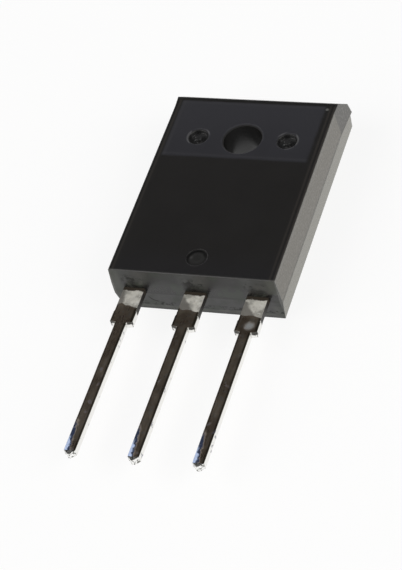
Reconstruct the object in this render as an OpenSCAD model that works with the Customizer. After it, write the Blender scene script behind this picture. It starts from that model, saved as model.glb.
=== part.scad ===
// Power transistor in a fully insulated plastic package, with a screw hole and three flat leads.
// It lies on its heatsink face. X runs across the leads, Y from the lead tips towards the screw
// hole, and Z up out of the front face. The origin is the screw hole's centre on the heatsink face.
// All sizes are in millimetres.

/* [Moulded body] */
// Width across the line where the two mould halves meet, the widest place
body_w = 15.0; // [14.6:0.1:16]
// Width of the flat front face, a little less because the mould half is tapered
front_w = 14.64; // [14:0.02:14.8]
// Width of the flat heatsink face, less again because that half tapers more
back_w = 14.34; // [13.8:0.02:14.6]
// Length from the lead end to the foot of the hole end, leads left out
body_l = 22.8; // [22.4:0.1:23.6]
// Thickness from the heatsink face to the front face
body_t = 5.0; // [4.8:0.1:5.6]
// Height of the mould parting line above the heatsink face
part_z = 2.3; // [2.2:0.05:2.5]
// How far the lead end leans in from the parting line down to the heatsink face
lead_end_lean = 0.34; // [0.1:0.02:0.6]
// How far the hole end leans in from the heatsink face up to the sloping cut above it
hole_end_lean = 0.8; // [0.2:0.05:1.2]
// Length of the sloping cut between the hole end and the front face
bevel_l = 1.5; // [1:0.02:1.8]
// Depth of that cut, measured down from the front face
bevel_d = 1.45; // [1:0.05:2]
// Small break along the front face's long edges and lead edge
edge_break = 0.05; // [0.03:0.01:0.2]
// Cut across the body's upright corners at the lead end
corner_cut = 0.08; // [0.04:0.02:0.3]

/* [Flared side walls at the hole end, front mould half only] */
// Distance from the screw hole's centre to where the side walls start to flare
flare_y = 3.6; // [2.5:0.1:4]
// Angle that the flared walls turn out by, in degrees
flare_turn = 3.6; // [0.5:0.1:4]

/* [Screw hole and pin marks] */
// Diameter of the screw hole
hole_d = 3.4; // [3.1:0.1:3.7]
// Distance from the lead end to the screw hole's centre
hole_from_lead_end = 15.8; // [15.6:0.1:16]
// Width of the small break round the front mouth of the screw hole
hole_break = 0.14; // [0.05:0.01:0.2]
// Distance of each upper pin mark from the centre line
mark_x = 4.05; // [3.9:0.05:4.4]
// Diameter of the upper pin marks
mark_d = 1.7; // [1.4:0.05:1.8]
// Depth of the upper pin marks
mark_depth = 0.5; // [0.1:0.02:0.7]
// Width of the break round the upper pin marks
mark_break = 0.12; // [0.04:0.02:0.16]
// Diameter of the button left in the middle of an upper pin mark
mark_button_d = 0.6; // [0.3:0.05:0.9]
// Distance of the lower pin mark from the lead end
low_mark_y = 1.98; // [1.6:0.02:2.4]
// Diameter of the lower pin mark
low_mark_d = 1.85; // [1.5:0.05:1.95]
// Depth of the lower pin mark
low_mark_depth = 0.07; // [0.03:0.01:0.2]

/* [Leads] */
// Distance between the middles of neighbouring leads
pitch = 5.45; // [5.4:0.01:5.5]
// Thickness of the lead strip
lead_t = 0.6; // [0.5:0.02:0.65]
// Width of the leads next to the body
wide_w = 1.85; // [1.7:0.05:2.2]
// Length of the wide stretch outside the body
wide_l = 3.75; // [3.4:0.05:4]
// Width of the rest of each lead
narrow_w = 0.95; // [0.8:0.05:1.2]
// Length of the leads outside the body, out to their points
lead_l = 17.6; // [14:0.1:20]
// Length of the cut point at each lead's tip
point_l = 0.36; // [0.2:0.02:0.8]
// Width left at the very tip
point_w = 0.24; // [0.2:0.02:0.5]
// Width of the dam bar's sheared stub that stands out on each side above the shoulder
stub_w = 0.05; // [0.02:0.01:0.1]
// Length of the dam bar's sheared stub
stub_l = 1.1; // [0.8:0.1:1.4]

/* [Copper header inside the body] */
// Width of the header plate
header_w = 12.2; // [11.5:0.1:12.4]
// Thickness of the header plate
header_t = 1.4; // [1.3:0.05:1.45]
// Plastic between the header plate and the heatsink face
header_gap = 0.7; // [0.6:0.05:0.75]
// Distance from the screw hole's centre to the header's end near the leads
header_low = 11.4; // [11.2:0.1:11.6]
// Distance from the screw hole's centre to the header's other end
header_high = 4.8; // [4.6:0.1:5]
// Diameter of the header's opening round the screw hole
header_hole_d = 6.4; // [5.6:0.1:6.8]
// Width of the neck that joins the header to the middle lead
neck_w = 2.6; // [2.2:0.1:3]

/* [Chip, solder and wires inside the body] */
// Side of the square silicon chip
chip_w = 4.2; // [3.6:0.1:4.6]
// Thickness of the chip
chip_t = 0.3; // [0.25:0.01:0.32]
// Distance from the screw hole's centre to the chip's middle
chip_y = 7.4; // [7.2:0.1:7.6]
// Thickness of the solder under the chip
solder_t = 0.06; // [0.05:0.01:0.08]
// How far the solder shows past the chip on each side
solder_edge = 0.12; // [0.05:0.01:0.2]
// Width of the outer leads' bond posts
post_w = 3.2; // [2.8:0.1:3.3]
// Length of the bond posts
post_l = 2.0; // [1.8:0.1:2.1]
// Diameter of the base's bond wire
base_wire_d = 0.3; // [0.25:0.01:0.4]
// Diameter of the emitter's bond wire
emitter_wire_d = 0.5; // [0.4:0.01:0.52]
// Height of each wire's arch above its two ends
wire_rise = 1.15; // [0.9:0.05:1.2]

/* [Hidden] */
$fn = 64;
past = 1;
front_end_draft = 0.01;
lead_end_y = -hole_from_lead_end;
hole_end_y = lead_end_y + body_l;
shoulder_y = lead_end_y - wide_l;
tip_y = lead_end_y - lead_l;
lead_z = part_z;
lead_top = lead_z + lead_t;
header_top = header_gap + header_t;
chip_z = header_top + solder_t;
chip_top = chip_z + chip_t;
post_in_y = -header_low - 1.0;
post_out_y = post_in_y - post_l;
post_x = pitch - 0.35;
shoulder_neck_w = 0.1;
shoulder_neck_l = 0.12;
header_corner = 0.6;
header_end_corner = 0.8;
header_notch_y = -3.25;
post_notch_y = post_out_y + 1.0;
bend_root_y = -header_low + 0.5;
bend_foot_y = -header_low - 0.1;
bend_head_y = post_in_y - 0.2;
bend_offset = 0.15;
foot_t = 0.24;
foot_l = 0.85;
foot_back = 0.55;
foot_spread = 1.3;
base_pad = [-1.1, -chip_y - 1.0];
emitter_pad = [0.9, -chip_y - 0.9];
base_post = [-post_x, post_in_y - 0.9];
emitter_post = [post_x, post_in_y - 0.9];

// Extrudes a Y and Z outline across the body's width
module across(w) {
    rotate([90, 0, 90]) translate([0, 0, -w / 2]) linear_extrude(height = w) children();
}

// The body's outline seen from the side, with the hole end on the right
module side_outline() {
    polygon([[lead_end_y + lead_end_lean, 0], [hole_end_y, 0],
        [hole_end_y - hole_end_lean, body_t - bevel_d],
        [hole_end_y - hole_end_lean - bevel_l, body_t], [lead_end_y + edge_break, body_t],
        [lead_end_y + front_end_draft, body_t - edge_break], [lead_end_y, part_z]]);
}

// The body with straight side walls: three outlines that cut one another
module straight_body() {
    intersection() {
        translate([0, hole_end_y + past, 0]) rotate([90, 0, 0])
            linear_extrude(height = body_l + 2 * past)
                polygon([[-back_w / 2, 0], [back_w / 2, 0], [body_w / 2, part_z],
                    [front_w / 2, body_t - edge_break], [front_w / 2 - edge_break, body_t],
                    [-front_w / 2 + edge_break, body_t], [-front_w / 2, body_t - edge_break],
                    [-body_w / 2, part_z]]);
        across(body_w + 2 * past) side_outline();
        translate([0, 0, -past]) linear_extrude(height = body_t + 2 * past)
            polygon([[-body_w / 2 + corner_cut, lead_end_y], [body_w / 2 - corner_cut, lead_end_y],
                [body_w / 2 + past, lead_end_y + corner_cut + past],
                [body_w / 2 + past, hole_end_y + past], [-body_w / 2 - past, hole_end_y + past],
                [-body_w / 2 - past, lead_end_y + corner_cut + past]]);
    }
}

// One side of the front mould half, turned out a little so that it stands proud at the hole end
module flared_side(side) {
    intersection() {
        translate([side * body_w / 2, flare_y, 0]) rotate([0, 0, -side * flare_turn])
            translate([-side * body_w / 2, hole_end_y, 0]) rotate([90, 0, 0])
                linear_extrude(height = 2 * hole_end_y)
                    polygon([[0, part_z], [side * body_w / 2, part_z],
                        [side * front_w / 2, body_t - edge_break],
                        [side * (front_w / 2 - edge_break), body_t], [0, body_t]]);
        across(body_w + 2 * past) side_outline();
    }
}

// The body's outside without its holes
module body_form() {
    straight_body();
    flared_side(1);
    flared_side(-1);
}

// The screw hole with a small break at its front mouth
module screw_hole() {
    translate([0, 0, -past]) cylinder(d = hole_d, h = body_t + 2 * past);
    translate([0, 0, body_t - hole_break])
        cylinder(d1 = hole_d, d2 = hole_d + 4 * hole_break, h = 2 * hole_break);
}

// The round dents that the mould's holding pins leave in the front face
module pin_marks() {
    for (side = [-1, 1]) translate([side * mark_x, 0, 0]) {
        difference() {
            translate([0, 0, body_t - mark_depth]) cylinder(d = mark_d, h = mark_depth + past);
            translate([0, 0, body_t - mark_depth - past])
                cylinder(d = mark_button_d, h = past + mark_depth * 0.7);
        }
        translate([0, 0, body_t - mark_break])
            cylinder(d1 = mark_d, d2 = mark_d + 4 * mark_break, h = 2 * mark_break);
    }
    translate([0, lead_end_y + low_mark_y, body_t - low_mark_depth])
        cylinder(d = low_mark_d, h = low_mark_depth + past);
}

// Black epoxy moulded round everything inside; the leads come out on the parting line
module mould_body() color("#242426") {
    difference() {
        body_form();
        screw_hole();
        pin_marks();
        collector_frame();
        base_lead();
        emitter_lead();
        chip();
        chip_solder();
        base_wire();
        emitter_wire();
    }
}

// One lead outside the body and a little way in: wide stretch, sheared stubs, then narrow
// down to a cut point
module lead_strip(inner_y) {
    translate([0, 0, lead_z]) linear_extrude(height = lead_t)
        polygon([[-narrow_w / 2, tip_y + point_l], [-point_w / 2, tip_y], [point_w / 2, tip_y],
            [narrow_w / 2, tip_y + point_l], [narrow_w / 2, shoulder_y - shoulder_neck_l],
            [narrow_w / 2 + shoulder_neck_w, shoulder_y], [wide_w / 2 + stub_w, shoulder_y],
            [wide_w / 2 + stub_w, shoulder_y + stub_l], [wide_w / 2, shoulder_y + stub_l],
            [wide_w / 2, inner_y], [-wide_w / 2, inner_y], [-wide_w / 2, shoulder_y + stub_l],
            [-wide_w / 2 - stub_w, shoulder_y + stub_l], [-wide_w / 2 - stub_w, shoulder_y],
            [-narrow_w / 2 - shoulder_neck_w, shoulder_y],
            [-narrow_w / 2, shoulder_y - shoulder_neck_l]]);
}

// A notch cut into the edge of a plate on the line x = 0, for the plastic to grip; it opens
// towards +X where side is 1 and towards -X where side is -1
module edge_notch(side, depth, floor_l, mouth_l) {
    polygon([[0, -mouth_l / 2], [-side * depth, -floor_l / 2], [-side * depth, floor_l / 2],
        [0, mouth_l / 2], [side * depth, mouth_l / 2], [side * depth, -mouth_l / 2]]);
}

// Copper header plate with its opening for the screw, bent up into the middle lead
module collector_frame() color("#b9a48c") {
    translate([0, 0, header_gap]) linear_extrude(height = header_t) difference() {
        polygon([[-header_w / 2 + header_corner, -header_low],
            [header_w / 2 - header_corner, -header_low],
            [header_w / 2, -header_low + header_corner],
            [header_w / 2, header_high - header_end_corner],
            [header_w / 2 - header_end_corner, header_high],
            [-header_w / 2 + header_end_corner, header_high],
            [-header_w / 2, header_high - header_end_corner],
            [-header_w / 2, -header_low + header_corner]]);
        for (side = [-1, 1]) translate([side * header_w / 2, header_notch_y])
            edge_notch(side, depth = 0.5, floor_l = 0.7, mouth_l = 1.3);
        circle(d = header_hole_d);
    }
    across(neck_w)
        polygon([[bend_root_y, header_top - lead_t], [bend_root_y, header_top],
            [bend_foot_y, header_top], [bend_head_y, lead_top], [post_out_y, lead_top],
            [post_out_y, lead_z], [bend_head_y - bend_offset, lead_z],
            [bend_foot_y - bend_offset, header_top - lead_t]]);
    lead_strip(post_out_y + 0.01);
}

// An outer lead with its bond post, which has a notch in each side to grip the plastic
module post_lead(side) {
    translate([side * pitch, 0, 0]) lead_strip(post_out_y + 0.01);
    translate([side * post_x, 0, lead_z]) linear_extrude(height = lead_t) difference() {
        translate([-post_w / 2, post_out_y]) square([post_w, post_l]);
        for (edge = [-1, 1]) translate([edge * post_w / 2, post_notch_y])
            edge_notch(edge, depth = 0.35, floor_l = 0.2, mouth_l = 0.6);
    }
}

// Left lead, the base connection
module base_lead() color("#b9a48c") post_lead(-1);

// Right lead, the emitter connection
module emitter_lead() color("#b9a48c") post_lead(1);

// Square silicon chip
module chip() color("#6d7480") {
    translate([-chip_w / 2, -chip_y - chip_w / 2, chip_z]) cube([chip_w, chip_w, chip_t]);
}

// Thin pad of solder between the chip and the header
module chip_solder() color("#9a9da0") {
    side = chip_w + 2 * solder_edge;
    translate([-side / 2, -chip_y - side / 2, header_top]) cube([side, side, solder_t]);
}

// Arched wire from a pad on the chip to a bond post, with a pressed foot at each end
module bond_wire(pad, post, d) {
    run = norm(post - pad);
    turn = atan2(post[1] - pad[1], post[0] - pad[0]);
    low = chip_top + d / 2;
    high = lead_top + d / 2;
    chord = sqrt(run * run + (high - low) * (high - low));
    bend_r = (chord * chord / 4 + wire_rise * wire_rise) / (2 * wire_rise);
    mid_x = run / 2 + (high - low) / chord * (bend_r - wire_rise);
    mid_z = (low + high) / 2 - run / chord * (bend_r - wire_rise);
    translate([pad[0], pad[1], 0]) rotate([0, 0, turn]) {
        intersection() {
            translate([mid_x, 0, mid_z]) rotate([90, 0, 0])
                rotate_extrude() translate([bend_r, 0]) circle(d = d);
            translate([0, d, 0]) rotate([90, 0, 0]) linear_extrude(height = 2 * d)
                polygon([[-1, chip_top], [run / 2, chip_top], [run / 2, lead_top],
                    [run + 1, lead_top], [run + 1, body_t], [-1, body_t]]);
        }
        for (spot = [[-foot_back, chip_top], [run + foot_back - foot_l, lead_top]])
            translate([spot[0], -d * foot_spread / 2, spot[1]])
                cube([foot_l, d * foot_spread, foot_t]);
    }
}

// Thin aluminium wire to the base lead
module base_wire() color("#d2d4d6") bond_wire(base_pad, base_post, base_wire_d);

// Thicker aluminium wire to the emitter lead
module emitter_wire() color("#d2d4d6") bond_wire(emitter_pad, emitter_post, emitter_wire_d);

mould_body();
collector_frame();
base_lead();
emitter_lead();
chip();
chip_solder();
base_wire();
emitter_wire();
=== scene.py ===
import math

import bpy
from mathutils import Matrix, Vector, noise


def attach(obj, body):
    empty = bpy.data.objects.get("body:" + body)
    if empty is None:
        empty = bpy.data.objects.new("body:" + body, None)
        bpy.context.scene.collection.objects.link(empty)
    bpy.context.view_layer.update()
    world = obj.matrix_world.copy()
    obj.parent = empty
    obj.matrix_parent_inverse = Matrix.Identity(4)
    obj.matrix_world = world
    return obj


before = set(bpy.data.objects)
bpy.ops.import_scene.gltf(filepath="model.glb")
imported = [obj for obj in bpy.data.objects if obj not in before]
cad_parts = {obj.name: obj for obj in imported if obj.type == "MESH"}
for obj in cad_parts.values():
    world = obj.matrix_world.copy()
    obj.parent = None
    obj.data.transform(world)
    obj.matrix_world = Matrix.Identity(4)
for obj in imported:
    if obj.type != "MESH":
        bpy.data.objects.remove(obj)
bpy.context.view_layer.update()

# The moulded body: black epoxy, pressed hot round the copper strip in a two-part steel mould.
# The mould's spark-cut walls leave a fine matt grain, and a polished patch round the screw hole
# leaves a smoother, bluer field. The edges are slightly round and rubbed.

# places on the body in millimetres, from the screw hole's centre on the heatsink face
FRONT_Z = 5.0
PARTING_Z = 2.3
LEAD_END_Y = -15.8
SIDE_X = 7.06  # only the side walls lie further out than this
FLARE_Y = 3.6
LEAD_PITCH = 5.45
LEAD_FRONT_Z = 2.9

# how far the back half's lead end leans in for each millimetre below the parting line
END_LEAN = 0.148

# the pin marks beside the screw hole: how far to the side, and where the burr round each carries
# a painted highlight, as a direction in degrees and how far out along it the highlight starts
SIDE_MARKS = ((-4.05, ((190, 0.62), (36, 0.86))),
              (4.05, ((12, 0.72), (132, 0.88), (-64, 0.88))))
LOW_MARK_Y = -13.82


class Tap:
    """A socket of a material being wired: sums on it add the Math or Vector Math nodes."""

    def __init__(self, tree, socket=None, vector=False):
        self.tree, self.socket, self.vector = tree, socket, vector

    def node(self, kind, settings=None, inputs=None, out=0, vector=False):
        """Any node: its type, its settings, what its sockets take, and which output is wanted."""
        made = self.tree.nodes.new(kind)
        for name, value in (settings or {}).items():
            setattr(made, name, value)
        for name, value in (inputs or {}).items():
            if isinstance(value, Tap):
                self.tree.links.new(value.socket, made.inputs[name])
            else:
                made.inputs[name].default_value = value
        return Tap(self.tree, made.outputs[out], vector)

    def _join(self, operation, other, swap=False):
        vector = self.vector or (isinstance(other, Tap) and other.vector)
        pair = [other, self] if swap else [self, other]
        if vector:
            pair = [(v, v, v) if isinstance(v, (int, float)) else v for v in pair]
        return self.node("ShaderNodeVectorMath" if vector else "ShaderNodeMath",
                         {"operation": operation}, dict(enumerate(pair)), vector=vector)

    def __add__(self, other): return self._join("ADD", other)
    def __radd__(self, other): return self._join("ADD", other, True)
    def __sub__(self, other): return self._join("SUBTRACT", other)
    def __rsub__(self, other): return self._join("SUBTRACT", other, True)
    def __mul__(self, other): return self._join("MULTIPLY", other)
    def __rmul__(self, other): return self._join("MULTIPLY", other, True)
    def __pow__(self, other): return self._join("POWER", other)

    def larger(self, other): return self._join("MAXIMUM", other)
    def smaller(self, other): return self._join("MINIMUM", other)
    def size(self): return self.node("ShaderNodeMath", {"operation": "ABSOLUTE"}, {0: self})

    def from_nearest(self, pitch):
        """How far this lies from the nearest multiple of the pitch, negative below it."""
        return self.node("ShaderNodeMath", {"operation": "WRAP"},
                         {0: self, 1: -pitch / 2, 2: pitch / 2})

    def rise(self, low, high):
        """0 below low, 1 above high, with a soft step between; low above high makes it fall."""
        return self.node("ShaderNodeMapRange", {"interpolation_type": "SMOOTHSTEP"},
                         {"Value": self, "From Min": low, "From Max": high})

    def near(self, middle, reach):
        """1 at the middle, fading to 0 at the reach on both sides."""
        return (self - middle).size().rise(reach, reach * 0.25)

    def blend(self, under, over):
        """A colour: under where this is 0, over where it is 1."""
        return self.node("ShaderNodeMix", {"data_type": "RGBA"},
                         {0: self, 6: under, 7: over}, out=2)

    def grain(self, scale, detail=3.0, rough=0.5, shift=0.0):
        """Noise from 0 to 1 over this place vector, which is in millimetres."""
        return self.node("ShaderNodeTexNoise", {"noise_dimensions": "3D"},
                         {"Vector": self + shift, "Scale": scale,
                          "Detail": detail, "Roughness": rough})

    def relief(self, strength, depth, normal=None):
        """A normal that rises and sinks with this height, by the depth in metres."""
        inputs = {"Strength": strength, "Distance": depth, "Height": self}
        if normal is not None:
            inputs["Normal"] = normal
        return self.node("ShaderNodeBump", {}, inputs, vector=True)

    def parts(self):
        """The three numbers of this vector."""
        return [self.node("ShaderNodeSeparateXYZ", {}, {0: self}, out=k) for k in range(3)]


def new_finish(name):
    """An empty material, its Principled shader, and the place on the part in millimetres."""
    finish = bpy.data.materials.new(name)
    finish.use_nodes = True
    shader = finish.node_tree.nodes["Principled BSDF"]
    place = Tap(finish.node_tree).node("ShaderNodeTexCoord", out="Object", vector=True) * 1000.0
    return finish, shader, place


def feed(shader, **values):
    """Sets the Principled shader's sockets, or links them to what varies over the surface."""
    for name, value in values.items():
        socket = shader.inputs[name.replace("_", " ").title().replace("Ior", "IOR")]
        if isinstance(value, Tap):
            shader.id_data.links.new(value.socket, socket)
        else:
            socket.default_value = value


def rounded_normal(place, radius):
    """The surface's normal with its edges rounded over the radius in metres."""
    return place.node("ShaderNodeBevel", {"samples": 6}, {"Radius": radius}, vector=True)


def front_face(place, front, tone, ripple):
    """The front face's colour, and where the polished field round the screw hole is."""
    x, y, _ = place.parts()
    # the field has a slightly uneven border and a paler rim
    left, right = x + ripple * 0.14, x + ripple * 0.2
    low, high = y + ripple * 0.12, y + ripple * 0.08
    field = (left.rise(-6.82, -6.68) * right.rise(6.62, 6.24)
             * low.rise(-2.54, -2.26) * high.rise(4.36, 4.24) * front)
    rim = (left.near(-6.53, 0.2) + low.near(-2.12, 0.16) * 0.8 + high.near(4.1, 0.2) * 0.7) * field
    # painted shade: the face darkens in a thin line along its borders, where they mirror the
    # shadowed card, and dully brightens just inside them
    border = (x.near(7.05, 0.12) * 0.6 + x.near(-7.16, 0.14) + y.near(4.46, 0.16)).smaller(1.0)
    skirt = (x.near(6.88, 0.14) + x.near(7.22, 0.12) + x.near(-6.96, 0.16)).smaller(1.0)
    gutter = x.near(6.62, 0.16) * y.rise(-2.6, -2.2) * front
    body = tone.blend((0.0064, 0.0056, 0.0055, 1), (0.0096, 0.0086, 0.0084, 1))
    body = (y.rise(-12.2, LEAD_END_Y) * front * 0.6).blend(body, (0.0100, 0.0096, 0.0120, 1))
    body = (skirt * front * 0.8).blend(body, (0.0300, 0.0260, 0.0225, 1))
    smooth = tone.blend((0.0205, 0.0205, 0.0258, 1), (0.0258, 0.0258, 0.0322, 1))
    smooth = (y.rise(-1.5, FLARE_Y) * 0.6).blend(smooth, (0.0320, 0.0320, 0.0390, 1))
    smooth = (rim * 0.6).blend(smooth, (0.0380, 0.0380, 0.0430, 1))
    colour = field.blend(body, smooth)
    painted_edge_shade = (border * front).larger(gutter * 0.3) * 0.75
    colour = painted_edge_shade.blend(colour, (0.0040, 0.0036, 0.0034, 1))
    # one pale chip at the field's upper right corner
    u, v = x - 6.62, y - 3.95
    chipped = (u * u + v * v).rise(0.035, 0.006) * front
    return (chipped * 0.6).blend(colour, (0.20, 0.20, 0.19, 1)), field


def pin_marks(place, front, colour):
    """The colour with the three pin marks in it, where the marks are, and where their rims are."""
    x, y, z = place.parts()
    dented = z.rise(FRONT_Z - 0.002, FRONT_Z - 0.01)
    marks = rims = z * 0.0
    # beside the hole: painted light on the floors, a dark ring of painted shade inside each rim, a
    # painted highlight at the left of each floor, and painted highlights on the burrs in places
    for middle_x, spots in SIDE_MARKS:
        u = x - middle_x
        span = (u * u + y * y) ** 0.5
        floor = span.rise(0.87, 0.83) * z.rise(4.95, 4.8)
        inside = span.rise(1.12, 1.06) * dented
        marks, rims = marks.larger(inside), rims.larger(inside * span.rise(0.86, 0.88))
        colour = (inside * span.rise(0.98, 0.80)).blend(colour, (0.0016, 0.0016, 0.0018, 1))
        colour = floor.blend(colour, (0.034, 0.034, 0.035, 1))
        painted_highlight = floor * (u + 0.36).near(0.0, 0.14) * y.near(0.0, 0.14)
        colour = painted_highlight.blend(colour, (0.22, 0.22, 0.22, 1))
        for turn, reach in spots:
            along = u * math.cos(math.radians(turn)) + y * math.sin(math.radians(turn))
            burr_highlight = span.near(0.97, 0.13) * along.rise(reach, reach + 0.12) * front
            colour = (burr_highlight * 0.6).blend(colour, (0.115, 0.115, 0.120, 1))
    # the lower mark is shallower, with its light and shade painted: a dark rim and a dark crescent
    # of painted shade at its upper side, a paler floor and ring of painted light inside, and a
    # painted highlight at its left
    v = y - LOW_MARK_Y
    span = (x * x + v * v) ** 0.5
    inside = span.rise(1.06, 1.0) * dented
    rim = inside * span.rise(0.88, 0.91)
    marks, rims = marks.larger(inside), rims.larger(rim)
    colour = rim.blend(colour, (0.0010, 0.0010, 0.0010, 1))
    colour = (span.rise(0.8, 0.6) * inside).blend(colour, (0.0125, 0.0122, 0.0118, 1))
    colour = (span.near(0.48, 0.22) * inside * 0.8).blend(colour, (0.0200, 0.0200, 0.0195, 1))
    crescent = span.near(0.72, 0.18) * v.rise(0.0, 0.3).larger((x + 0.76).near(0.0, 0.2) * 0.9)
    colour = (crescent * inside).blend(colour, (0.0006, 0.0006, 0.0005, 1))
    painted_highlight = (x + 0.50).near(0.0, 0.2) * v.near(0.0, 0.2) * inside
    return painted_highlight.blend(colour, (0.042, 0.042, 0.042, 1)), marks, rims


def side_walls(place, from_end, colour):
    """The colour with the long side walls' coarser skin, streaked along them, painted pale as
    painted light.
    """
    x, y, z = place.parts()
    streak = (place * (0.6, 0.35, 3.2)).grain(2.2, 4.0, 0.6, 5.0)
    pits = place.grain(5.0, 2.0, 0.6, 61.0)
    upper = z.rise(PARTING_Z - 0.1, PARTING_Z + 0.1)
    flared = y.rise(FLARE_Y - 0.1, FLARE_Y + 0.1) * upper
    skin = streak.blend((0.114, 0.101, 0.076, 1), (0.160, 0.143, 0.110, 1))
    skin = (z.near(4.7, 0.25) * 0.3).blend(skin, (0.20, 0.195, 0.18, 1))
    # painted shade: the flared corner of the front half is painted darker
    skin = (flared * 0.8).blend(skin, (0.060, 0.058, 0.054, 1))
    # the back mould half left a browner skin, and the flash at the parting line is dark
    skin = upper.blend(streak.blend((0.076, 0.065, 0.022, 1), (0.136, 0.120, 0.054, 1)), skin)
    skin = (z.near(2.42, 0.22) * 0.6).blend(skin, (0.050, 0.046, 0.036, 1))
    skin = (pits.rise(0.52, 0.34) * 0.35).blend(skin, (0.055, 0.058, 0.040, 1))
    skin = (pits.rise(0.50, 0.66) * 0.35).blend(skin, (0.230, 0.215, 0.190, 1))
    wall = (z.rise(FRONT_Z - 0.04, FRONT_Z - 0.1) * x.size().rise(SIDE_X, SIDE_X + 0.07)
            * from_end.rise(0.03, 0.06))
    return wall.blend(colour, skin)


def lead_end(place, from_end, colour):
    """The colour with the lead end's stains, painted light and shade, and how much duller they
    make the surface.
    """
    x, _, z = place.parts()
    end = from_end.rise(0.06, 0.03) * z.rise(FRONT_Z - 0.04, FRONT_Z - 0.1)
    off_lead = x.from_nearest(LEAD_PITCH).size()
    stain = place.grain(0.9, 5.0, 0.62, 41.0)
    # painted shade: above the leads the end face is darkened in blotches, where the leads keep the
    # white card from it, with paler blotches between; dark flecks lie along the lower edge
    above = (off_lead.rise(1.2, 0.7) * z.rise(LEAD_FRONT_Z - 0.05, LEAD_FRONT_Z + 0.1)
             * z.rise(4.7, 3.9))
    shade_blotches = place.grain(1.5, 3.0, 0.6, 47.0)
    flecks = z.near(0.90, 0.36) * place.grain(2.6, 4.0, 0.7, 44.0).rise(0.49, 0.55)
    # one curved scratch between the left and the middle lead
    u, v = x + 3.66, z - 1.99
    scratch = (((u * u + v * v) ** 0.5).near(0.8, 0.11)
               * u.rise(0.05, -0.2) * v.rise(-0.1, -0.35))
    flecks = flecks.larger(scratch * stain.rise(0.3, 0.4))
    colour = (end * stain.rise(0.45, 0.62)).blend(colour, (0.0200, 0.0250, 0.0175, 1))
    colour = (end * z.near(4.15, 0.8) * 0.4).blend(colour, (0.0050, 0.0056, 0.0046, 1))
    # painted shade: the back half is darkened just below the parting line, softening the step in
    # light where the face leans in
    below = z.rise(PARTING_Z + 0.02, PARTING_Z - 0.02) * z.rise(1.2, 2.2)
    colour = (end * below * 0.5).blend(colour, (0.0090, 0.0100, 0.0080, 1))
    # painted light: the upper part of the end face is paler away from the leads and towards its
    # ends
    lift = off_lead.rise(1.7, 0.6).larger(x.size().rise(5.9, 6.8)) * z.rise(3.4, 4.2)
    colour = (end * lift * (0.6 + stain * 0.8)).blend(colour, (0.046, 0.047, 0.045, 1))
    # the corners and a band along the lower edge are paler
    off_parting = z.near(2.5, 1.1).size().rise(0.6, 0.1)
    corners = x.rise(-6.2, -6.9).larger(x.rise(6.2, 6.8) * off_parting)
    pale_band = (z + (stain - 0.5) * 0.4).near(0.45, 0.26)
    colour = (end * corners.larger(pale_band) * 0.8).blend(colour, (0.064, 0.068, 0.056, 1))
    lead_shade = above * shade_blotches.rise(0.52, 0.45)
    colour = (end * flecks.larger(lead_shade)).blend(colour, (0.0045, 0.0042, 0.0030, 1))
    bloom = above * shade_blotches.rise(0.56, 0.64)
    colour = (end * bloom * 0.7).blend(colour, (0.060, 0.060, 0.055, 1))
    colour = (end * z.rise(0.10, 0.05)).blend(colour, (0.0060, 0.0060, 0.0050, 1))
    dull = end * (lead_shade * 0.22 + stain.rise(0.4, 0.65) * 0.14 + z.rise(2.7, 2.2) * 0.16
                  + z.rise(2.9, 4.2) * 0.24 + flecks * 0.3)
    return colour, dull


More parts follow.
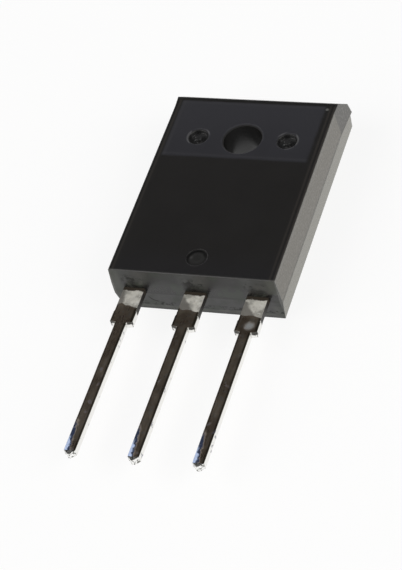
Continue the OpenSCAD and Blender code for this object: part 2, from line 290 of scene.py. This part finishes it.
def epoxy_finish():
    finish, shader, place = new_finish("moulded_epoxy")
    x, y, z = place.parts()
    rounded = rounded_normal(place, 0.00009)
    flat = place.node("ShaderNodeNewGeometry", out="Normal", vector=True)
    along = flat.node("ShaderNodeVectorMath", {"operation": "DOT_PRODUCT"},
                      {0: rounded, 1: flat}, out="Value")
    edge = (1.0 - along).rise(0.02, 0.25)
    fine = place.grain(11.0, 4.0, 0.6)
    specks = place.grain(26.0, 2.0, 0.5, 7.0)
    clouds = place.grain(0.28, 3.0, 0.55, 3.0)
    ripple = place.grain(1.1, 3.0, 0.6, 11.0) - 0.5
    tone = (clouds * 0.5 + fine * 0.5).rise(0.3, 0.7)
    front = z.rise(FRONT_Z - 0.1, FRONT_Z - 0.05)
    from_end = y - LEAD_END_Y - (PARTING_Z - z).larger(0.0) * END_LEAN
    colour, field = front_face(place, front, tone, ripple)
    colour, marks, rims = pin_marks(place, front, colour)
    colour = side_walls(place, from_end, colour)
    colour, dull = lead_end(place, from_end, colour)
    # the screw hole's wall, with a dark line of painted shade just inside its rim
    bore = (x * x + y * y).rise(3.7, 3.5) * z.rise(FRONT_Z - 0.002, FRONT_Z - 0.01)
    throat = z.rise(4.92, 4.86) * bore
    colour = throat.blend(colour, (0.0130, 0.0126, 0.0122, 1))
    colour = (z.near(4.86, 0.07) * bore * 0.8).blend(colour, (0.0030, 0.0030, 0.0030, 1))
    # the outer edges are rubbed pale
    worn = edge * (1.0 - marks.larger(bore)) * 0.12 * fine.rise(0.35, 0.6)
    colour = worn.blend(colour, (0.12, 0.12, 0.12, 1))
    # painted highlight: a pale line down the lead end's corner edges and along the edge over it
    edge_highlight = (x.size().rise(7.2, 7.34) * from_end.rise(0.14, 0.05)).larger(
        y.rise(-15.62, -15.72) * z.rise(4.9, 4.96) * 0.25)
    colour = (edge_highlight * 0.8).blend(colour, (0.17, 0.17, 0.16, 1))
    # grains of pale filler show here and there
    dots = specks.rise(0.71, 0.78) * clouds.rise(0.4, 0.6)
    colour = (dots * 0.35).blend(colour, (0.10, 0.10, 0.095, 1))
    side = z.rise(4.92, 4.86) * (1.0 - bore)
    rims = rims.larger(bore * z.rise(4.82, 4.86))
    rough = (0.43 + rims * 0.5 + (fine - 0.5) * 0.16 - edge * 0.05 - side * 0.19
             - bore * z.rise(4.84, 4.8) * 0.19 + dull)
    height = fine * 0.6 + specks * 0.4 + ripple * 0.8
    strength = (1.0 - field * 0.7) * (1.0 - side * 0.7)
    feed(shader, base_color=colour, roughness=rough, ior=1.58,
         normal=(height * strength).relief(0.28, 0.00002, rounded))
    return finish


def dress(node, finish):
    """Puts one finish on a CAD node that keeps its own mesh."""
    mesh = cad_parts[node].data
    mesh.materials.clear()
    mesh.materials.append(finish)


dress("mould_body", epoxy_finish())

# The lead metal: half-hard copper strip, stamped and thinly plated. Where it leaves the plastic
# it has no solder on it, and its plating is dull and mottled by the moulding heat. The cut
# points at the tips show bright new metal.

POINT_Y = -33.0  # where the cut point begins


def strip_finish():
    finish, shader, place = new_finish("plated_strip")
    x, y, z = place.parts()
    blotch = place.grain(1.7, 4.0, 0.65, 2.0)
    spots = place.grain(4.6, 3.0, 0.6, 9.0)
    scratch = (place * (9.0, 0.9, 9.0)).grain(1.0, 3.0, 0.6, 4.0)
    across = x.from_nearest(LEAD_PITCH)
    cloud = place.grain(0.9, 3.0, 0.5, 22.0)
    colour = cloud.rise(0.34, 0.60).blend((0.44, 0.43, 0.39, 1), (0.85, 0.83, 0.76, 1))
    bright = spots.rise(0.54, 0.68) * across.rise(-0.2, 0.5)
    colour = (bright * 0.7).blend(colour, (0.97, 0.96, 0.92, 1))
    colour = (spots.rise(0.42, 0.3) * 0.3).blend(colour, (0.30, 0.27, 0.23, 1))
    # the left part of each lead is tarnished, and on the two right-hand leads more so further out
    spread = (y + 16.6) * (0.2 + x.rise(-3.2, -2.2) * 0.5)
    tinge = (across + 0.62 + spread + (blotch - 0.5) * 0.6).rise(0.14, -0.14)
    colour = (tinge * 0.85).blend(colour, (0.20, 0.19, 0.175, 1))
    # painted reflection: the sheared sides are painted dark for the body's dark end face they
    # mirror
    front = z.rise(LEAD_FRONT_Z - 0.02, LEAD_FRONT_Z - 0.005)
    colour = (1.0 - front).blend(colour, (0.014, 0.011, 0.009, 1))
    # the first hair's breadth of each lead by the body is dark
    dark_root = (y + (blotch - 0.5) * 0.5).rise(-16.21, -16.10)
    colour = dark_root.blend(colour, (0.034, 0.026, 0.018, 1))
    # fresh cut facets at the points
    point = y.rise(POINT_Y + 0.02, POINT_Y - 0.06)
    facet = place.grain(4.6, 2.0, 0.5, 13.0)
    cut = facet.rise(0.40, 0.52).blend((0.20, 0.20, 0.18, 1), (0.97, 0.97, 0.95, 1))
    colour = point.blend(colour, cut)
    rough = 0.46 + (blotch - 0.5) * 0.3 + (scratch - 0.5) * 0.1 - point * 0.22
    height = blotch * 0.5 + spots * 0.4 + scratch * 0.3
    feed(shader, base_color=colour, roughness=rough,
         metallic=(0.4 * front * (1.0 - dark_root)).larger(point * 0.9),
         normal=height.relief(0.3, 0.00003, rounded_normal(place, 0.00005)))
    return finish


strip = strip_finish()
for name in ("collector_frame", "base_lead", "emitter_lead"):
    dress(name, strip)

# The solder dip: before sale the leads are dipped in molten solder to just short of the body, so
# each carries a thin dark skin with rounded edges, a ragged upper rim where the solder stopped
# climbing, white sheared sides, and near the tip a bluish streak painted as reflection.

MM = 0.001
STRIP_MID_Z = 2.6
STRIP_HALF_T = 0.3
SHOULDER_Y = -19.55
STUB_LENGTH = 1.1  # the stub of the tie bar that was sheared off, down to the shoulder
SLOPE_LENGTH = 0.12  # the slope that follows the shoulder
WIDE_HALF, STUB_HALF, LEG_HALF, SLOPE_WIDTH = 0.925, 0.975, 0.475, 0.1
SKIN_END_Y = POINT_Y - 0.05


def lead_half_width(y):
    """Half the metal's width at this place along a lead, as the CAD has it."""
    if y > SHOULDER_Y + STUB_LENGTH:
        return WIDE_HALF
    if y > SHOULDER_Y:
        return STUB_HALF
    if y > SHOULDER_Y - SLOPE_LENGTH:
        return LEG_HALF + SLOPE_WIDTH + (y - SHOULDER_Y) / SLOPE_LENGTH * SLOPE_WIDTH
    return LEG_HALF


def solder_finish():
    finish, shader, place = new_finish("dipped_solder")
    x, y, z = place.parts()
    across = x.from_nearest(LEAD_PITCH)
    patch = place.grain(0.55, 4.0, 0.6, 21.0)
    mottle = place.grain(3.2, 2.0, 0.5, 17.0)
    draw = (place * (7.0, 0.5, 7.0)).grain(1.0, 3.0, 0.5, 6.0)
    colour = patch.rise(0.38, 0.62).blend((0.62, 0.50, 0.39, 1), (0.80, 0.68, 0.55, 1))
    colour = (mottle.rise(0.5, 0.72) * 0.5).blend(colour, (0.72, 0.68, 0.64, 1))
    colour = ((draw - 0.5).rise(0.1, 0.22) * 0.5).blend(colour, (0.80, 0.76, 0.72, 1))
    # the front is darker along its long edges
    half = y.rise(SHOULDER_Y - SLOPE_LENGTH, SHOULDER_Y) * 0.46 + 0.48
    from_left, from_right = across + half, half - across
    rims = from_left.rise(0.20, 0.06).larger(from_right.rise(0.26, 0.08))
    colour = (rims * 0.85).blend(colour, (0.17, 0.15, 0.11, 1))
    # the sheared sides and the ends of the shoulders kept thicker, whiter solder; by the ragged
    # rim they are darkened as painted reflection of the body's dark end face, and the shoulders'
    # upper edge is dark too
    facing = place.node("ShaderNodeNewGeometry", out="Normal", vector=True).parts()[2].size()
    side = facing.rise(0.75, 0.4)
    colour = side.blend(colour, (0.90, 0.89, 0.86, 1))
    darkened = side * (y + (mottle - 0.5) * 0.2).rise(-18.35, -18.25)
    ledge = (y.rise(SHOULDER_Y + 0.15, SHOULDER_Y + 0.07)
             * y.rise(SHOULDER_Y - 0.25, SHOULDER_Y - 0.17) * across.size().rise(0.50, 0.56))
    high_up = (z + (mottle - 0.5) * 0.4).rise(2.56, 2.66)
    darkened = darkened.larger(facing.rise(0.99, 0.9) * ledge * high_up)
    colour = darkened.blend(colour, (0.060, 0.058, 0.050, 1))
    # painted reflection: a bluish streak on the left of the last three millimetres, with a painted
    # highlight at the very edge
    reach = from_left + (mottle - 0.5) * 0.5 + (y - POINT_Y) * 0.09
    streak = y.rise(-29.6, -30.6) * reach.rise(0.58, 0.40) * z.rise(2.5, 2.8)
    pale = y.rise(-31.2, -32.0) * (reach + (patch - 0.5) * 0.6).rise(0.33, 0.18)
    tinge = pale.blend((0.020, 0.032, 0.075, 1), (0.56, 0.68, 0.96, 1))
    colour = streak.blend(colour, tinge)
    # painted highlight: a pale bluish patch on the right-hand lead's shoulder, rougher than the
    # rest
    u, v = x - 5.62, y + 18.95
    ragged = u * u + v * v + (patch - 0.5) * 0.3 + (mottle - 0.5) * 0.3
    shoulder_highlight = ragged.rise(0.36, 0.0) * z.rise(2.8, 2.88)
    colour = shoulder_highlight.blend(colour, (0.60, 0.62, 0.63, 1))
    # faint bluish smudges along the legs
    smudge = place.grain(1.5, 2.0, 0.5, 71.0).rise(0.62, 0.70) * y.rise(-19.8, -20.4)
    colour = (smudge * 0.7).blend(colour, (0.11, 0.12, 0.18, 1))
    rough = (0.30 + (patch - 0.5) * 0.16 + (draw - 0.5) * 0.12 + shoulder_highlight * 0.34
             + darkened * 0.3 + streak * 0.2)
    height = mottle * 0.12 + draw * 0.5 + patch
    feed(shader, base_color=colour, roughness=rough,
         metallic=1.0 - streak.larger(darkened).larger(smudge * 0.3),
         normal=height.relief(0.2, 0.00003))
    return finish


def skin_outline(half_w, half_t, radius):
    """Points round a flat bar's section with rounded corners, spread over its faces too."""
    spots = []
    for sx, sz, start in ((1, 1, 0), (-1, 1, 90), (-1, -1, 180), (1, -1, 270)):
        for step in range(5):
            angle = math.radians(start + 22.5 * step)
            spots.append((sx * (half_w - radius) + radius * math.cos(angle),
                          sz * (half_t - radius) + radius * math.sin(angle)))
        if start in (0, 180):
            for share in (0.2, 0.4, 0.6, 0.8):
                spots.append((sx * (half_w - radius) * (1 - 2 * share), sz * half_t))
        else:
            for share in (1 / 3, 2 / 3):
                spots.append((sx * half_w, sz * (half_t - radius) * (1 - 2 * share)))
    return spots


def stations_along(rim):
    """Places along a lead from the rim to its point, closer together where its width changes."""
    steps = (SHOULDER_Y + STUB_LENGTH, SHOULDER_Y, SHOULDER_Y - SLOPE_LENGTH, SKIN_END_Y)
    stations = [rim]
    y = rim
    while y > SKIN_END_Y:
        y -= 0.03 if min(abs(y - step) for step in steps) < 0.16 else 0.1
        stations.append(max(y, SKIN_END_Y))
    return stations


def dip_skin(name, middle_x, rim, seed):
    """An open sleeve round one lead, from its ragged rim down to where the point is cut."""
    ragged_rows = 6
    stations = stations_along(rim)
    points, faces = [], []
    for row, along in enumerate(stations):
        # the solder rounds off the steps of the metal, and never lies inside it
        metal = lead_half_width(along)
        reach = [lead_half_width(along + d) for d in (-0.06, -0.04, -0.02, 0, 0.02, 0.04, 0.06)]
        half = max(metal, 0.5 * max(reach) + 0.5 * sum(reach) / len(reach) - 0.02)
        start = min(1.0, row / 3.0)
        end = min(1.0, (along - SKIN_END_Y) / 0.3)
        skin = 0.003 + 0.017 * start * (0.4 + 0.6 * end)
        outline = skin_outline(half + skin, STRIP_HALF_T + skin, min(0.085, 3.0 * skin))
        for px, pz in outline:
            wave = noise.noise(Vector((px * 1.6 + seed, along * 1.3, pz * 1.6)))
            lump = noise.noise(Vector((px * 0.5 - seed, along * 0.45, pz * 0.5 + 5)))
            grow = 1 + start * (0.012 * max(0.0, wave) + 0.016 * max(0.0, lump))
            ragged = 0.0
            if row < ragged_rows:
                tear = noise.noise(Vector((px * 1.5 + seed * 3, 0.3, pz)))
                ragged = (1 - row / ragged_rows) * (0.34 * tear - 0.10 * px)
            points.append(((middle_x + px * grow) * MM, (along + ragged) * MM,
                           (STRIP_MID_Z + pz * grow) * MM))
    ring = len(outline)
    for row in range(len(stations) - 1):
        for k in range(ring):
            a, b = row * ring + k, row * ring + (k + 1) % ring
            faces.append((a, a + ring, b + ring, b))
    mesh = bpy.data.meshes.new(name)
    mesh.from_pydata(points, [], faces)
    mesh.validate()
    for face in mesh.polygons:
        face.use_smooth = True
    sleeve = bpy.data.objects.new(name, mesh)
    bpy.context.scene.collection.objects.link(sleeve)
    mesh.materials.append(solder)
    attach(sleeve, "root")


solder = solder_finish()
dip_skin("base_lead_dip", -LEAD_PITCH, -17.75, 1.0)
dip_skin("collector_lead_dip", 0.0, -17.85, 4.3)
dip_skin("emitter_lead_dip", LEAD_PITCH, -17.95, 8.1)

# Inside the body, out of sight: the silicon chip, soldered to the copper header, and the two
# aluminium wires that are pressed by sound on to the chip and the outer leads.

CHIP_MIDDLE_Y = -7.4
PAD_HALF = 1.75


def chip_finish():
    finish, shader, place = new_finish("polished_silicon")
    x, y, z = place.parts()
    film = place.grain(0.5, 2.0, 0.5, 30.0)
    pad = (x.size().rise(PAD_HALF, PAD_HALF - 0.05)
           * (y - CHIP_MIDDLE_Y).size().rise(PAD_HALF, PAD_HALF - 0.05) * z.rise(2.44, 2.455))
    metal = place.grain(8.0, 2.0, 0.5, 33.0).blend((0.62, 0.62, 0.62, 1), (0.80, 0.80, 0.79, 1))
    colour = pad.blend(film.blend((0.05, 0.055, 0.07, 1), (0.10, 0.10, 0.13, 1)), metal)
    feed(shader, base_color=colour, roughness=0.16 + pad * 0.28 + film * 0.05,
         metallic=0.6 + pad * 0.4)
    return finish


def die_solder_finish():
    finish, shader, place = new_finish("chip_solder_metal")
    grain = place.grain(3.0, 4.0, 0.6, 40.0)
    feed(shader, base_color=grain.blend((0.34, 0.35, 0.36, 1), (0.58, 0.58, 0.57, 1)),
         roughness=0.32 + grain * 0.2, normal=grain.relief(0.3, 0.00002), metallic=1.0)
    return finish


def wire_finish():
    finish, shader, place = new_finish("drawn_aluminium")
    draw = (place * 3.0).grain(4.0, 3.0, 0.6, 50.0)
    feed(shader, base_color=draw.blend((0.66, 0.67, 0.68, 1), (0.86, 0.86, 0.86, 1)),
         roughness=0.26 + draw * 0.2, normal=draw.relief(0.2, 0.00001), metallic=1.0)
    return finish


dress("chip", chip_finish())
dress("chip_solder", die_solder_finish())
drawn = wire_finish()
dress("base_wire", drawn)
dress("emitter_wire", drawn)

# The table: a sheet of white card that the part lies on, wide enough to fill any view. Its own
# colour is a plain grey that keeps the part's shadow, and what makes it white glows only for the
# camera and in reflections.

CARD_HALF = 2.5


def seen_directly(tree):
    """1 for what the camera sees, straight or in metal and glass, 0 for what lights the part."""
    camera_ray, glossy_ray, clear_ray = (
        Tap(tree).node("ShaderNodeLightPath", out=f"Is {kind} Ray")
        for kind in ("Camera", "Glossy", "Transmission"))
    return camera_ray.larger(glossy_ray).larger(clear_ray)


def card_finish():
    finish, shader, place = new_finish("white_card")
    tree = finish.node_tree
    fibre = place.grain(0.8, 4.0, 0.6)
    feed(shader, base_color=fibre.blend((0.155, 0.155, 0.155, 1), (0.165, 0.165, 0.165, 1)),
         roughness=0.9)
    shader.inputs["Specular IOR Level"].default_value = 0.0
    glow = place.node("ShaderNodeEmission", {},
                      {"Color": (1, 1, 1, 1), "Strength": seen_directly(tree) * 0.86})
    both = glow.node("ShaderNodeAddShader", {}, {0: Tap(tree, shader.outputs[0]), 1: glow})
    tree.links.new(both.socket, tree.nodes["Material Output"].inputs["Surface"])
    return finish


card_mesh = bpy.data.meshes.new("card")
card_mesh.from_pydata([(-CARD_HALF, -CARD_HALF, 0), (CARD_HALF, -CARD_HALF, 0),
                       (CARD_HALF, CARD_HALF, 0), (-CARD_HALF, CARD_HALF, 0)],
                      [], [(0, 1, 2, 3)])
card_mesh.materials.append(card_finish())
card = bpy.data.objects.new("card", card_mesh)
bpy.context.scene.collection.objects.link(card)

# The light: a soft box on the left in front of the part, a slightly weaker one on the right, and
# a dim room. Metal also mirrors the card's white far end all round, and darkness above it.


def soft_box(name, place, size, power, colour):
    """A square lamp that faces the middle of the part."""
    lamp = bpy.data.lights.new(name, "AREA")
    lamp.shape = "RECTANGLE"
    lamp.size, lamp.size_y, lamp.energy, lamp.color = size, size, power, colour
    box = bpy.data.objects.new(name, lamp)
    box.location = place
    facing = Vector((0, -0.01, 0)) - Vector(place)
    box.rotation_euler = facing.to_track_quat("-Z", "Y").to_euler()
    bpy.context.scene.collection.objects.link(box)


soft_box("left_box", (-0.60, -0.42, 0.50), 0.9, 5.7, (1.0, 0.985, 0.96))
soft_box("right_box", (0.72, -0.18, 0.45), 0.8, 5.2, (1.0, 0.985, 0.95))

room = bpy.data.worlds.new("room")
room.use_nodes = True
bpy.context.scene.world = room
sky = room.node_tree
even = sky.nodes["Background"]
even.inputs["Color"].default_value = (0.90, 0.94, 1.0, 1)
even.inputs["Strength"].default_value = 0.16
height = Tap(sky).node("ShaderNodeTexCoord", out="Generated", vector=True).parts()[2]
far_end = height.rise(0.24, 0.46).blend((1, 1, 1, 1), (0.030, 0.029, 0.028, 1))
around = height.node("ShaderNodeBackground", {}, {"Color": far_end, "Strength": 1.0})
pick = around.node("ShaderNodeMixShader", {},
                   {0: seen_directly(sky), 1: Tap(sky, even.outputs[0]), 2: around})
sky.links.new(pick.socket, sky.nodes["World Output"].inputs["Surface"])

# The camera: about twenty centimetres off, above the lead side and a little to the right,
# turned so that the part slants across the picture.

lens = bpy.data.cameras.new("camera")
lens.lens = 155.11
lens.sensor_width = 36.0
lens.sensor_fit = "AUTO"
lens.clip_start, lens.clip_end = 0.01, 20.0
camera = bpy.data.objects.new("camera", lens)
right = Vector((0.93399, 0.28208, -0.21929))
up = Vector((-0.06912, 0.74482, 0.66368))
back = Vector((0.35055, -0.60471, 0.71515))
turn = Matrix((right, up, back)).transposed().to_4x4()
camera.matrix_world = Matrix.Translation((0.071463, -0.137855, 0.148213)) @ turn
bpy.context.scene.collection.objects.link(camera)
bpy.context.scene.camera = camera

bpy.context.scene.view_settings.view_transform = "Standard"
